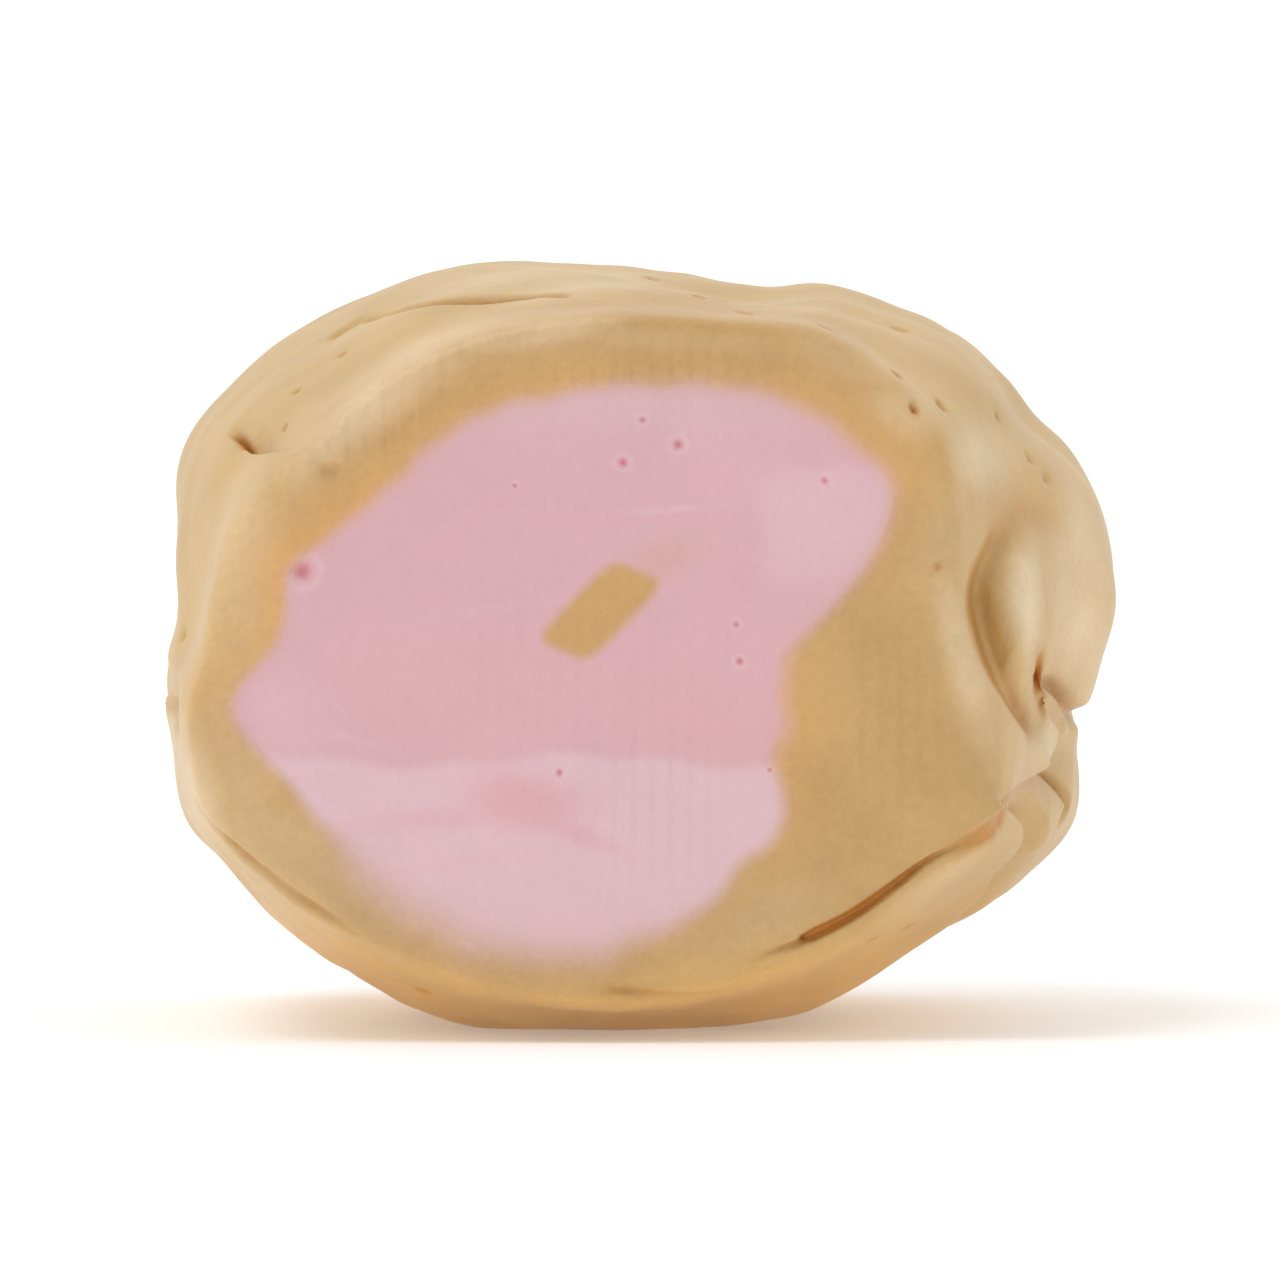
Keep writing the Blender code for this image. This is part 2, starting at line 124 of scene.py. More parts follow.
EAR_FOOT = (
    (9.4, -9.5, 8.7, 0.3), (9.62, -8.9, 8.2, 1), (9.82, -8.3, 7.92, 1), (9.98, -7.7, 7.75, 0.3),
)
RIM_RIDGE = (
    (-8.3, -10.9, 14.2, 0), (-7.45, -10.9, 15.4, 1), (-6.4, -10.9, 16.4, 1),
    (-4.9, -10.9, 17.3, 0.7), (-3.0, -10.9, 17.9, 0.4), (-1.0, -10.9, 18.1, 0),
)
EAR_TOP = (
    (8.75, -9.3, 12.5, 0.3), (9.2, -8.4, 13.0, 0.8), (9.8, -7.2, 13.35, 1),
    (10.4, -5.8, 13.1, 0.6), (10.7, -4.8, 12.6, 0),
)
KNOT_HOLE = ((10.12, -7.3, 9.5, 0.2), (10.14, -7.25, 9.3, 0.7), (10.16, -7.2, 9.05, 1))
KNOT_FOLD = ((10.22, -7.05, 8.52, 0.4), (10.3, -6.9, 8.36, 1), (10.38, -6.7, 8.22, 0.6))
FLAP_RIDGE = (
    (10.35, -6.8, 8.65, 0.4), (10.55, -6.0, 8.45, 1), (10.74, -5.2, 8.2, 1), (10.85, -4.4, 7.85, 1),
    (10.9, -3.8, 7.45, 0.2),
)
WAIST = (
    (10.36, -6.7, 8.85, 0.05), (10.5, -6.2, 8.78, 0.6), (10.7, -5.3, 8.6, 1), (10.85, -4.6, 8.3, 1),
    (10.95, -3.6, 7.98, 0.9), (11.05, -1.0, 7.8, 0.8), (10.9, 3.5, 7.9, 0.4), (10.4, 6.0, 8.2, 0),
)
SLIT = (
    (4.25, -10.85, 2.62, 0.8), (4.5, -10.8, 2.75, 1), (5.4, -10.7, 3.25, 1),
    (6.4, -10.6, 3.95, 0.85), (7.3, -10.5, 4.6, 0.5), (8.0, -10.4, 5.0, 0.1),
)
POCKET = ((8.1, -10.5, 4.92, 0.5), (8.75, -10.3, 5.26, 1), (9.3, -9.9, 5.58, 1))
SEAM_TAIL = ((4.1, -10.9, 2.5, 1), (3.45, -10.9, 2.3, 0.6), (2.6, -10.9, 1.95, 0))
SIDE_FOLD = (
    (10.35, -6.2, 6.9, 0.3), (10.6, -5.2, 6.5, 0.8), (10.8, -4.3, 6.0, 1), (10.88, -3.9, 5.6, 1),
    (10.75, -4.3, 5.2, 0.3),
)
TOP_SEAM = (
    (-6.9, -3.7, 18.25, 0.3), (-5.7, -5.5, 18.4, 0.4), (-4.4, -6.5, 18.55, 0.7),
    (-3.2, -7.1, 18.7, 1), (-2.4, -7.6, 18.7, 1), (-1.7, -8.3, 18.65, 0),
)
SHORT_CREASE = ((-8.1, -3.8, 17.55, 0), (-7.6, -3.5, 17.9, 1), (-7.0, -3.3, 18.2, 0.2))
DENT_HOLE = ((-10.62, -5.8, 15.55, 0.2), (-10.4, -6.4, 15.28, 1), (-10.1, -7.1, 14.98, 0.8))
LOW_RIM = (
    (-11.0, -10.4, 6.1, 0.3), (-9.9, -10.9, 5.15, 1), (-8.85, -11.0, 4.3, 1),
    (-6.6, -11.0, 2.75, 0),
)
LOW_CREASE = (
    (-11.4, -9.9, 5.85, 0.2), (-10.25, -10.6, 5.0, 1), (-9.1, -10.8, 4.05, 0.8),
    (-8.05, -10.8, 3.3, 1), (-6.9, -10.8, 2.5, 0),
)
BOTTOM_CREASE = (
    (-1.2, -10.9, 1.3, 0), (-0.4, -10.8, 1.22, 1), (0.9, -10.4, 1.25, 0.6), (2.4, -10.0, 1.5, 0),
)
BACK_GROOVE = (
    (-10.6, 4.0, 13.0, 0), (-10.4, 6.6, 11.6, 1), (-10.3, 8.2, 10.2, 1), (-10.8, 6.6, 8.6, 0.7),
    (-11.3, 4.2, 7.8, 0),
)
BACK_RIDGE = ((-10.9, 4.6, 12.0, 0), (-10.9, 5.6, 10.6, 1), (-11.1, 5.0, 9.2, 0.3))
GROOVES = (
    (EAR_RIDGE, -0.35, 1.2, 1, 0.0, 0.5),
    (EAR_GROOVE, 0.25, 0.42, 1, 0.25, 0.85),
    (EAR_LINE, 0.2, 0.24, 1, 1.0, 0.85),
    (EAR_FOOT, 0.18, 0.3, 1, 1.1, 0.5),
    (RIM_RIDGE, -0.12, 0.42, 1, 0.0, 0.0),
    (EAR_TOP, 0.36, 0.55, 1, 0.6, 0.5),
    (KNOT_HOLE, 0.75, 0.38, 1, 2.6, 0.85),
    (KNOT_FOLD, 0.35, 0.28, 1, 1.5, 0.85),
    (FLAP_RIDGE, -0.2, 0.2, 1, 0.0, 0.0),
    (WAIST, 0.42, 0.24, 1, 0.8, 0.0),
    (SLIT, 0.32, 0.19, 3, 1.85, 0.0),
    (POCKET, 0.1, 0.3, 1, 1.6, 0.5),
    (SEAM_TAIL, 0.2, 0.12, 1, 0.6, 0.0),
    (SIDE_FOLD, 0.4, 0.14, 1, 1.0, 0.0),
    (TOP_SEAM, 0.55, 0.15, 1, 1.8, 0.0),
    (SHORT_CREASE, 0.25, 0.15, 1, 0.8, 0.0),
    (DENT_HOLE, 0.26, 0.12, 1, 1.6, 0.0),
    (LOW_RIM, -0.12, 0.3, 1, 0.0, 0.0),
    (LOW_CREASE, 0.2, 0.16, 1, 0.5, 0.0),
    (BOTTOM_CREASE, 0.15, 0.15, 1, 0.6, 0.0),
    (BACK_GROOVE, 0.7, 0.55, 1, 0.4, 0.0),
    (BACK_RIDGE, -0.3, 0.7, 1, 0.0, 0.0),
)

# A wrapped edge lies over what is on its right, which is lower by a drop that fades over a reach,
# and has painted shade beside the edge, where it overhangs, that fades over its own reach. Last
# are the width over which it falls away, how far it leans over what it covers, and how far it
# drops straight to the back.
# Where wraps of one group meet, the deeper one counts.
EAR_WRAP = (
    (9.85, -7.8, 7.75, 0.3), (9.45, -9.1, 8.15, 0.65), (9.0, -10.1, 8.9, 0.9),
    (8.68, -10.4, 9.6, 1), (8.48, -10.5, 10.4, 1), (8.4, -10.4, 11.2, 1), (8.58, -9.8, 12.0, 0.8),
    (9.1, -8.6, 12.8, 0.45), (9.8, -7.0, 13.2, 0),
)
FRONT_WRAP = (
    (2.8, -10.9, 2.05, 0), (4.1, -10.9, 2.6, 0.1), (5.65, -10.7, 3.45, 0.15),
    (7.2, -10.7, 4.6, 0.15), (8.65, -10.8, 5.5, 0.3), (9.25, -10.4, 5.92, 0.7),
    (9.6, -9.9, 6.25, 1), (9.95, -8.1, 6.5, 1), (10.25, -6.4, 6.75, 1), (10.42, -5.2, 7.1, 0.8),
    (10.45, -5.0, 7.6, 0.5), (10.4, -5.8, 7.95, 0.3),
)
LIP_END = (
    (7.6, -3.9, 2.3, 0), (7.9, -4.7, 2.8, 0.6), (8.5, -6.1, 3.65, 0.9), (8.9, -7.2, 4.35, 1),
    (9.5, -7.3, 4.9, 1), (9.65, -7.9, 5.3, 1), (9.6, -8.9, 5.6, 0.8), (9.4, -10.0, 5.85, 0.5),
)
LEFT_DENT = (
    (-8.3, -11.0, 14.75, 0.15), (-9.2, -9.5, 14.85, 0.35), (-9.9, -7.6, 14.8, 1),
    (-10.2, -6.5, 15.0, 0.7), (-10.5, -5.3, 15.2, 0),
)
LEFT_FLAP = (
    (-11.3, -9.4, 7.5, 0), (-11.9, -7.0, 7.8, 0.8), (-12.0, -4.0, 8.0, 1), (-12.0, 0.0, 8.4, 0),
)
BACK_WRAP = (
    (8.9, 6.6, 4.4, 0), (8.0, 8.4, 3.6, 0.8), (6.0, 9.9, 2.7, 1), (3.4, 10.8, 1.9, 0.8),
    (0.4, 10.9, 1.3, 0),
)
BACK_SEAM = (
    (-3.4, 10.4, 17.8, 0), (-2.2, 10.2, 18.2, 0.8), (1.0, 8.6, 18.6, 1), (4.0, 6.6, 18.4, 0.7),
    (6.4, 3.0, 18.2, 0),
)
WRAPS = (
    (
        (EAR_WRAP, 1.2, 1.9, 0.6, 0.5, 0.22, 0.0, 0.85),
        (FRONT_WRAP, 0.5, 2.4, 0.7, 0.6, 0.09, 0.11, 0.0),
        (LIP_END, 0.75, 2.4, 0.8, 0.5, 0.08, 0.11, 0.0),
    ),
    ((LEFT_DENT, 0.4, 1.1, 0.7, 0.3, 0.08, 0.11, 0.0),),
    ((LEFT_FLAP, 0.45, 1.4, 0.6, 0.35, 0.1, 0.11, 0.0),),
    ((BACK_WRAP, 0.55, 3.4, 0.8, 0.5, 0.08, 0.11, 0.0),),
    ((BACK_SEAM, 0.35, 2.2, 0.8, 0.4, 0.1, 0.11, 0.0),),
)
GROOVE_REACH = 3.5       # widths from its line beyond which a groove is nothing
SWELL = 0.12             # height of the layer's slow unevenness
RIPPLE = 0.035           # height of its finer unevenness
PINK_SWELL = 0.05        # height of the unevenness of the filling's cut faces
RIPPLE_COUNT = 26
RIPPLE_LENGTHS = (1.2, 5.0)
RIPPLE_SEED = 3

# Spots pressed in, or out where the depth is below zero: a point, a depth, a radius and the painted
# shade in the hollow
SPOTS = (
    ((-7.95, -10.9, 14.5), 0.13, 0.22, 0.3),
    ((-7.7, -10.9, 14.5), 0.13, 0.2, 0.3),
    ((-7.95, -10.9, 14.6), -0.12, 0.6, 0.0),
    ((-2.6, -7.5, 18.7), 0.2, 0.22, 1.6),
    ((-7.46, -6.5, 17.2), 0.12, 0.1, 1.1),
    ((-8.68, -6.8, 16.24), 0.12, 0.1, 1.1),
    ((-8.88, -8.2, 15.38), 0.12, 0.1, 1.1),
    ((1.5, -6.8, 18.65), 0.2, 0.12, 1.0),
    ((6.65, -4.7, 17.75), 0.22, 0.14, 1.2),
    ((6.55, -10.1, 16.95), 0.18, 0.12, 1.2),
    ((7.05, -10.8, 16.1), 0.22, 0.15, 1.7),
    ((7.72, -9.2, 16.15), 0.22, 0.15, 1.5),
    ((7.5, -10.9, 12.0), 0.08, 0.1, 0.9),
    ((4.5, 10.4, 16.2), 0.3, 0.5, 0.6),
)
SMALL_PITS = 46          # more little pits, scattered over the sides and the back
PITS_BEHIND = -9.5       # the Y that they begin at
PIT_DEPTHS = (0.08, 0.2)
PIT_RADII = (0.1, 0.2)
# painted shade inside the little pits
PIT_SHADES = (0.4, 1.0)
PIT_SEED = 7

# How finely the shapes are divided: round the axis, along each span of the path over the layer,
# and across the cut faces. At busy angles, given with a spread in degrees, there are more points
# by the share that comes last.
ANGLE_COUNT = 620
BUSY_ANGLES = ((-27, 28, 1.8), (150, 25, 0.3))
PATH_STEPS = (2, 6, 9, 12, 20, 26, 26, 12, 5, 6, 8, 8, 5, 4, 3, 2, 1)
CUT_SPANS = 5            # spans at each end of the path that lie on or beside a cut face
FACE_RINGS = 100
BACK_RINGS = 16
CORE_RINGS = 14
SNAP_ANGLES = 720        # the same for the fine surface that the lines of the folds are laid on
SNAP_STEPS = 8
BLOCK = 4000             # points whose distances are worked out at a time
SHARP_ANGLE = 70         # degrees from which an edge isn't smoothed

# Camera and light
CAMERA_TILT = 3.0        # degrees above level
CAMERA_DISTANCE = 1.0    # metres
VIEW_WIDTH = 0.0325      # metres across the frame at the piece
ROOM_FRONT = 0.44        # brightness of the surroundings behind the viewer
ROOM_SIDES = 1.0         # and on the other sides
SOFT_BOX = 0.85          # strength of the wide light
SOFT_BOX_WIDTH = 28      # degrees
SOFT_BOX_WAY = (0.4, 0.35, -1.0)
FLOOR_SIZE = 80.0        # metres
FLOOR_GLOW = 0.2         # light that comes through the pale floor

# Colours, linear red, green and blue
FACE_CARAMEL = (0.59, 0.365, 0.145)
SIDE_CARAMEL = (0.61, 0.4, 0.157)
# painted warm shade and painted bounce light on the underside
UNDERSIDE_SHADE_AND_BOUNCE_CARAMEL = (0.76, 0.452, 0.148)
# painted highlight and painted light, with paler dry skin
PALE_HIGHLIGHT_CARAMEL = (0.78, 0.59, 0.36)
ORANGE_CARAMEL = (0.73, 0.395, 0.14)
# painted shade in folds, creases, pits and under wrapped edges: brown, deep orange in the deepest
FOLD_SHADE_CARAMEL = (0.52, 0.255, 0.065)
DEEP_SHADE_CARAMEL = (0.62, 0.262, 0.045)
CORE_CARAMEL = (0.65, 0.375, 0.145)
PINK = (0.75, 0.447, 0.485)
PALE_PINK = (0.79, 0.545, 0.59)
DUSKY_PINK = (0.735, 0.485, 0.515)
ROSE = (0.775, 0.43, 0.47)
PIT_PINK = (0.68, 0.25, 0.28)
PIT_RING = (0.86, 0.6, 0.63)

# The surface that every layer has
CLOUD_SCALE = 420.0
GRAIN_SCALE = 4600.0
DRIFT_SCALE = 260.0      # of the caramel's slow change of colour
RIDGE_SCALE = 655.0      # one ridge in each 0.48 mm
RIDGE_HEIGHT = 1.4       # of the pressed-in ridges, against the grain
RELIEF = 0.000032        # metres that a height of 1 stands for
CANDY_IOR = 1.46

# A cut face's colour reaches over its rim, by spans of the path: further at the top
FACE_REACH = 1.7
TOP_REACH = 2.0          # what is added at the top
TOP_ANGLE = 75           # degrees
TOP_SPREAD = 25
FACE_FADE = 4.8          # over which the side's colour takes its place

# Where colours change, as the coordinates between which they do
UNDERSIDE_SHADE_AND_BOUNCE_CHANGE = (5.5, 0.3)          # down to the warmer, brighter underside, in Z: painted warm shade and bounce light
DUSKY_CHANGE = (14.6, 16.2)      # up to the duskier pink at the top, in Z
PALE_HIGHLIGHT_CHANGE = (4.0, -4.0)       # towards the front, where the pale patches and painted highlights are, in Y
DUSKY_AMOUNT = 0.7
PALE_AMOUNT = 0.9                # of the paler pink in the lower part
PALE_LEVEL = 7.12                # its height, with waves

CORE_MEETING_WIDTH = 0.09        # over which the core's and the filling's colours meet

# Millimetres over which the caramel's and the filling's colours meet, at angles in degrees. The
# wider meeting along the bottom, from 232 to 275 degrees, also paints a soft shade there.
MEETING_WIDTHS = (
    (0, 0.13), (30, 0.18), (60, 0.18), (90, 0.15), (130, 0.16), (165, 0.12), (190, 0.12),
    (215, 0.16), (232, 0.42), (244, 0.46), (258, 0.38), (275, 0.34), (292, 0.2), (320, 0.12),
    (340, 0.16),
)

# Orange band of the caramel beside the filling: degrees, and how strong it is
WARM_BAND = (
    (0, 0.25), (15, 0.3), (30, 0.85), (45, 0.85), (60, 0.55), (90, 0.5), (115, 0.75), (135, 0.95),
    (160, 0.95), (178, 0.75), (195, 0.25), (215, 0.1), (250, 0.1), (290, 0.1), (315, 0.2),
    (328, 0.65), (340, 1.0), (352, 0.7),
)
WARM_WIDTH = 1.1         # millimetres

# Little pits in the pink face: X, Z and a radius
PINK_PITS = (
    (-8.43, 11.9, 0.23), (0.11, 15.7, 0.08), (1.0, 15.08, 0.12), (-0.38, 14.63, 0.11),
    (4.68, 14.18, 0.09), (2.46, 10.56, 0.07), (2.55, 9.63, 0.09), (-1.98, 6.83, 0.09),
    (-3.1, 14.05, 0.06), (3.3, 6.9, 0.06),
)
# Soft blots in the pink face: the middle, half sizes, a turn in degrees and an amount
ROSE_BLOTS = (
    ((-2.9, 6.1), (1.5, 0.75), -8, 1.0),
    ((-4.6, 5.7), (2.2, 0.3), 4, 0.5),
    ((-1.9, 5.5), (1.5, 0.28), -25, 0.7),
    ((-4.5, 9.0), (3.5, 1.2), 5, 0.5),
    ((1.5, 8.2), (2.2, 0.9), -15, 0.7),
)
# A tinge of the core's colour beside its upper end, in the same way
CORE_HALO = (((0.6, 12.2), (1.0, 0.5), 25, 0.26),)
# Where the pink and the caramel faces were pressed into fine ridges, in the same way
PINK_PRESSED = (((0.6, 5.6), (1.9, 1.9), 10, 1.0), ((-1.5, 9.0), (4.5, 3.0), 0, 0.5))
CARAMEL_PRESSED = (
    ((0.2, 16.6), (2.6, 1.1), 0, 1.0), ((6.4, 8.0), (1.6, 2.4), 0, 0.7),
    ((-6.4, 15.6), (2.6, 0.9), 38, 0.8),
)
# Pale patches of the caramel, in the same way: painted highlights and painted light on lit rims,
# bulges and sides, with paler dry skin
PALE_HIGHLIGHT_PATCHES = (
    ((9.75, 11.2), (0.5, 1.3), 5, 0.85),
    ((11.2, 10.8), (0.9, 2.6), 5, 0.8),
    ((-6.8, 15.9), (2.7, 0.6), 40, 1.0),
    ((-9.7, 11.9), (0.85, 2.4), -4, 0.5),
    ((8.25, 9.5), (2.6, 0.5), 105, 0.55),
    ((-5.0, 16.9), (1.2, 0.35), 35, 0.4),
    ((5.5, 17.05), (1.8, 0.35), -27, 0.4),
    ((7.6, 12.6), (0.9, 1.6), 0, 0.2),
    ((-10.0, 8.6), (1.1, 3.4), 4, 0.35),
    ((-8.6, 4.6), (2.6, 1.0), -38, 0.36),
    ((-3.0, 17.85), (2.4, 0.4), 8, 0.65),
    ((6.6, 15.9), (0.9, 0.6), -30, 0.6),
    ((8.7, 14.6), (0.7, 0.9), 30, 0.6),
    ((-11.2, 6.4), (0.9, 2.2), 10, 0.6),
    ((-2.4, 18.9), (3.4, 0.4), 3, 0.35),
    ((0.5, 17.75), (4.5, 0.3), -3, 0.18),
    ((3.5, 3.2), (2.5, 0.9), 25, 0.15),
    ((10.2, 7.2), (0.4, 0.9), -35, 0.5),
    ((7.5, 3.95), (1.5, 0.35), 33, 0.4),
)
# Streaks: the same, with an amount above zero for paler and below zero for stronger pink
STREAKS = (
    ((0.9, 13.45), (1.5, 0.1), 5, 0.36),
    ((-0.5, 13.15), (2.4, 0.14), 3, -0.18),
    ((-3.2, 11.0), (3.2, 0.12), 8, 0.15),
    ((-2.8, 9.8), (3.8, 0.1), 2, -0.21),
    ((-4.2, 13.2), (1.8, 0.12), 32, -0.18),
    ((-5.4, 12.6), (1.5, 0.1), 35, 0.18),
    ((1.6, 9.2), (1.9, 0.12), -35, -0.21),
    ((-6.9, 7.6), (1.2, 0.12), -15, 0.24),
    ((-4.3, 4.6), (2.0, 0.12), 8, -0.18),
    ((0.8, 4.2), (1.8, 0.16), -8, 0.18),
    ((2.5, 11.9), (0.9, 0.35), 55, -0.21),
    ((-8.7, 8.2), (1.5, 1.1), -30, 0.35),
)


def smooth_step(low, high, value):
    """Rise smoothly from 0 to 1 as a value goes from low to high."""
    part = np.clip((value - low) / (high - low), 0.0, 1.0)
    return part * part * (3 - 2 * part)


def closed_curve(points):
    """Return the radius as a smooth function of the angle, through points given in degrees."""
    degrees, values = np.array(sorted(points)).T
    knots = np.radians(np.concatenate((degrees[-2:] - 360, degrees, degrees[:2] + 360)))
    heights = np.concatenate((values[-2:], values, values[:2]))
    slopes = np.gradient(heights, knots)

    def radius(angles):
        turned = (angles - knots[1]) % math.tau + knots[1]
        cell = np.clip(np.searchsorted(knots, turned, side="right") - 1, 0, len(knots) - 2)
        span = knots[cell + 1] - knots[cell]
        part = (turned - knots[cell]) / span
        start = (1 + 2 * part) * (1 - part) ** 2 * heights[cell]
        leave = part * (1 - part) ** 2 * span * slopes[cell]
        end = part ** 2 * (3 - 2 * part) * heights[cell + 1]
        arrive = part ** 2 * (part - 1) * span * slopes[cell + 1]
        return start + leave + end + arrive

    return radius


def spread_angles(count):
    """Angles once round the axis, closer together where the surface is busy."""
    fine = np.linspace(-math.pi, math.pi, 2881)
    density = np.ones_like(fine)
    for middle, spread, extra in BUSY_ANGLES:
        away = (np.degrees(fine) - middle + 180) % 360 - 180
        density += extra * np.exp(-(away / spread) ** 2)
    travelled = np.concatenate(([0.0], np.cumsum((density[1:] + density[:-1]) / 2)))
    return np.interp(np.arange(count) / count * travelled[-1], travelled, fine)


def outline(points, angles):
    """Points in X and Z along a closed outline."""
    radius = closed_curve(points)(angles)
    if points is FILLING_OUTLINE:
        for waves, shift, height in RAGGED_EDGE:
            radius = radius + height * np.sin(waves * angles + shift)
    return np.stack((AXIS_X + radius * np.cos(angles), AXIS_Z + radius * np.sin(angles)), axis=1)


def core_outline(angles):
    """Points in X and Z round the slanted bar, one in each direction from its middle."""
    turn = np.linspace(0.0, math.tau, 1441)[:-1]
    power = 2 / CORE_SQUARENESS
    reach = np.sign(np.cos(turn)) * np.abs(np.cos(turn)) ** power
    rise = np.sign(np.sin(turn)) * np.abs(np.sin(turn)) ** power
    x = reach * CORE_LONG[0] + rise * CORE_SHORT[0]
    z = reach * CORE_LONG[1] + rise * CORE_SHORT[1]
    heading = np.arctan2(z, x)
    order = np.argsort(heading)
    ring = [np.interp(angles, heading[order], value[order], period=math.tau) for value in (x, z)]
    return np.stack(ring, axis=1) + np.array(CORE_CENTRE)


def at_depth(ring, depth):
    """Turn X, Z points into X, Y, Z points at a depth."""
    return np.stack((ring[:, 0], np.zeros(len(ring)) + depth, ring[:, 1]), axis=1)


def on_both_cuts(ring):
    """Lay an outline on the front cut and on the back cut."""
    return [at_depth(ring, -FACE_DEPTH), at_depth(ring, FACE_DEPTH)]


def half_path(hole, rim, body, lip, front):
    """Rows of control points from the hole in the layer over the rim to the belly."""
    side = -1.0 if front else 1.0
    outward = rim - np.array((AXIS_X, AXIS_Z))
    outward = outward / np.linalg.norm(outward, axis=1, keepdims=True)
    overhang = np.linalg.norm(body - rim, axis=1, keepdims=True)
    bevel = 0.3 * np.minimum(overhang, 1.2)
    inward = np.minimum(RIM_ROUND, 0.45 * np.linalg.norm(rim - hole, axis=1, keepdims=True))
    rows = (
        (hole, FACE_DEPTH),
        ((hole + rim) / 2, FACE_DEPTH),
        (rim - outward * inward, FACE_DEPTH + lip * 0.3),
        (rim - outward * inward * 0.1, FACE_DEPTH + lip * 1.8),
        (rim + outward * bevel, HALF_DEPTH - 0.8),
        (rim + (body - rim) * 0.5, HALF_DEPTH * 0.66),
        (rim + (body - rim) * 0.92, HALF_DEPTH * 0.36),
        (body, HALF_DEPTH * 0.1),
    )
    return [at_depth(ring, side * depth) for ring, depth in rows]


def run_along(controls, steps):
    """Run a smooth curve along the rows of control points, held at its first and last row."""
    rows = np.concatenate((controls[:1], controls[:1], controls, controls[-1:], controls[-1:]))
    stations = []
    for span, count in enumerate(steps):
        part = np.linspace(0.0, 1.0, count, endpoint=False)[:, None, None]
        weights = (
            (1 - part) ** 3,
            3 * part ** 3 - 6 * part ** 2 + 4,
            1 + 3 * part + 3 * part ** 2 - 3 * part ** 3,
            part ** 3,
        )
        held = sum(weight * rows[span + place] for place, weight in enumerate(weights))
        stations.append(held / 6)
    stations.append(controls[-1:])
    return np.concatenate(stations)


def base_surface(angles, steps):
    """The caramel layer without its folds: rows from the front hole to the back hole."""
    hole = outline(FILLING_OUTLINE, angles)
    body = outline(BODY_OUTLINE, angles)
    lip = closed_curve(FRONT_LIP)(angles)
    front = half_path(hole, outline(FRONT_RIM_OUTLINE, angles), body, lip, True)
    back = half_path(hole, outline(BACK_RIM_OUTLINE, angles), body, BACK_LIP, False)
    return run_along(np.array(front + back[::-1]), steps)


def normals_of(grid):
    """Unit normals of the base surface, pointing out of the layer."""
    across = np.roll(grid, -1, axis=1) - np.roll(grid, 1, axis=1)
    onward = np.gradient(grid, axis=0)
    normals = np.cross(onward, across)
    return normals / np.linalg.norm(normals, axis=2, keepdims=True)


def lay_on(surface, points):
    """Move points to the nearest points of a finely divided surface."""
    return np.array([surface[np.argmin(((surface - point) ** 2).sum(axis=1))] for point in points])


def smooth_line(surface, points, count=8):
    """Run a smooth line over a surface, with a number of steps from each point to the next."""
    points = np.array(points, dtype=float)
    points[:, :3] = lay_on(surface, points[:, :3])
    ends = np.concatenate((2 * points[:1] - points[1:2], points, 2 * points[-1:] - points[-2:-1]))
    line = []
    for before, start, stop, after in zip(ends, ends[1:], ends[2:], ends[3:]):
        for part in np.arange(count) / count:
            line.append(0.5 * (
                2 * start + (stop - before) * part
                + (2 * before - 5 * start + 4 * stop - after) * part ** 2
                + (3 * start - before - 3 * stop + after) * part ** 3
            ))
    line = np.array(line + [points[-1]])
    return line[:, :3], np.clip(line[:, 3], 0.0, 1.0)


def beside_line(points, normals, line, amounts):
    """For every point: its distance to a line, the line's amount there, its side and the way right.

    The side is a distance, above zero on the right of the line.
    """
    nearest = np.full(len(points), np.inf)
    amount = np.zeros(len(points))
    side = np.zeros(len(points))
    right_way = np.zeros((len(points), 3))
    for start, stop, first, last in zip(line, line[1:], amounts, amounts[1:]):
        leg = stop - start
        length = np.linalg.norm(leg)
        part = np.clip((points - start) @ leg / length ** 2, 0.0, 1.0)
        offset = points - start - part[:, None] * leg
        distance = np.linalg.norm(offset, axis=1)
        right = np.cross(leg / length, normals)
        nearer = distance < nearest
        nearest[nearer] = distance[nearer]
        amount[nearer] = (first + part * (last - first))[nearer]
        side[nearer] = (offset * right).sum(axis=1)[nearer]
        right_way[nearer] = right[nearer]
    return nearest, amount, side, right_way


def close_to(points, line, reach):
    """Which points lie within a reach of a line's box."""
    return np.all((points > line.min(axis=0) - reach) & (points < line.max(axis=0) + reach), axis=1)


def away_from_filling(grid):
    """Rise from 0 at the first and last row to 1 further along the surface."""
    lengths = np.linalg.norm(np.diff(grid, axis=0), axis=2)
    travelled = np.concatenate((np.zeros((1, grid.shape[1])), np.cumsum(lengths, axis=0)))
    nearest = np.minimum(travelled, travelled[-1] - travelled)
    return smooth_step(0.0, 2.0, nearest)


def ripples(points):
    """Many small waves in different directions, the same each time."""
    picker = np.random.default_rng(RIPPLE_SEED)
    total = np.zeros(len(points))
    for _ in range(RIPPLE_COUNT):
        heading = picker.normal(size=3)
        heading = heading / np.linalg.norm(heading)
        length = picker.uniform(*RIPPLE_LENGTHS)
        wave = np.sin(points @ heading * math.tau / length + picker.uniform(0.0, math.tau))
        total += wave * length / 3.0
    return total * RIPPLE / math.sqrt(RIPPLE_COUNT / 2)


def scattered_pits(finely):
    """Small pits on the sides and the back, at places that are the same each time."""
    picker = np.random.default_rng(PIT_SEED)
    places = finely[finely[:, 1] > PITS_BEHIND]
    chosen = places[picker.integers(0, len(places), SMALL_PITS)]
    return [
        (point, picker.uniform(*PIT_DEPTHS), picker.uniform(*PIT_RADII), picker.uniform(*PIT_SHADES))
        for point in chosen
    ]


def outward_way(normals, frontal):
    """Where a fold's depth is measured: along the normals, or in part straight to the front."""
    return normals * (1 - frontal) + np.array((0.0, -1.0, 0.0)) * frontal


def swell(points):
    """The layer's slow unevenness."""
    x, y, z = points.T
    broad = np.sin(0.55 * x + 0.3 * y + 0.8) * np.sin(0.5 * z - 0.35 * y)
    return SWELL * (broad + 0.5 * np.sin(0.9 * y + 0.4 * z))


